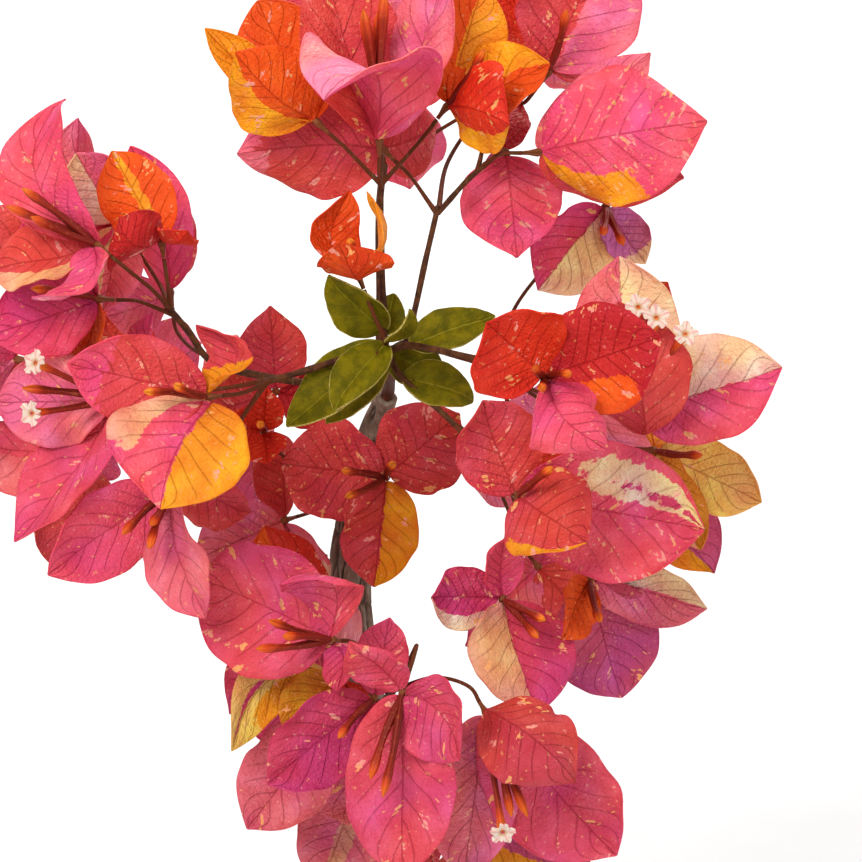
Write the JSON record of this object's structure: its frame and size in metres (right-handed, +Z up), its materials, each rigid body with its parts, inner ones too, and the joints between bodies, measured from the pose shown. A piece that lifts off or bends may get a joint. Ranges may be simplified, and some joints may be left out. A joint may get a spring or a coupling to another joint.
{
  "type": "bougainvillea bonsai",
  "caption": "Potted bougainvillea bonsai: ridged woody trunk in a glazed oblong tray, thin arching stems with a leaf whorl, clusters of papery three-bract blooms in coral, pink and yellow.",
  "frame": {"origin": "under the middle of the whole plant, on the surface that its pot stands on", "axes": "+Z up; +X to the right as seen from the front; the front looks along -Y"},
  "size_m": [0.2473, 0.2532, 0.3963],
  "materials": {
    "glaze": "dark brown stoneware, satin glaze",
    "earth": "dark granular bonsai soil with a little moss",
    "bark": "grey-brown fissured bark",
    "shoot": "young red-brown wood with olive-green leaves edged yellow",
    "bract": "papery bracts, coral to magenta with orange and cream sectors, fleck and fine veins"
  },
  "bodies": {
    "root": {"pot": "glaze", "soil": "earth", "trunk": "bark", "stem_front": "shoot", "stem_centre": "shoot", "stem_bottom": "shoot", "stem_back_upper": "shoot", "stem_back_left": "shoot", "stem_back_right": "shoot", "bloom_top_middle": "bract", "bloom_top_left": "bract", "bloom_top_right": "bract", "bloom_top_far_right": "bract", "bloom_top_low": "bract", "bloom_upper_right": "bract", "bloom_upper_right_hanging": "bract", "bloom_upper_right_lilac": "bract", "bloom_right_front": "bract", "bloom_right_beige": "bract", "bloom_right_lower": "bract", "bloom_right_yellow": "bract", "bloom_right_under": "bract", "bloom_right_folded": "bract", "bloom_centre_young": "bract", "bloom_centre": "bract", "bloom_centre_low": "bract", "bloom_centre_orange": "bract", "bloom_centre_left": "bract", "bloom_left_upper": "bract", "bloom_left_upper_inner": "bract", "bloom_left_back": "bract", "bloom_left_cream": "bract", "bloom_left_front": "bract", "bloom_left_starred": "bract", "bloom_left_middle": "bract", "bloom_left_lower": "bract", "bloom_bottom_left": "bract", "bloom_bottom_yellow": "bract", "bloom_bottom_low_left": "bract", "bloom_bottom_middle": "bract", "bloom_bottom_front": "bract", "bloom_bottom_back": "bract", "bloom_bottom_right": "bract", "bloom_back_top_left": "bract", "bloom_back_top": "bract", "bloom_back_top_right": "bract", "bloom_back_left_upper": "bract", "bloom_back_left_outer": "bract", "bloom_back_left": "bract", "bloom_back_left_lower": "bract", "bloom_back_right_upper": "bract", "bloom_back_right": "bract", "bloom_back_right_lower": "bract", "bloom_back_low_left": "bract", "bloom_back_low": "bract", "bloom_deep_upper": "bract", "bloom_deep_left": "bract", "bloom_deep_right": "bract"}
  },
  "joints": []
}
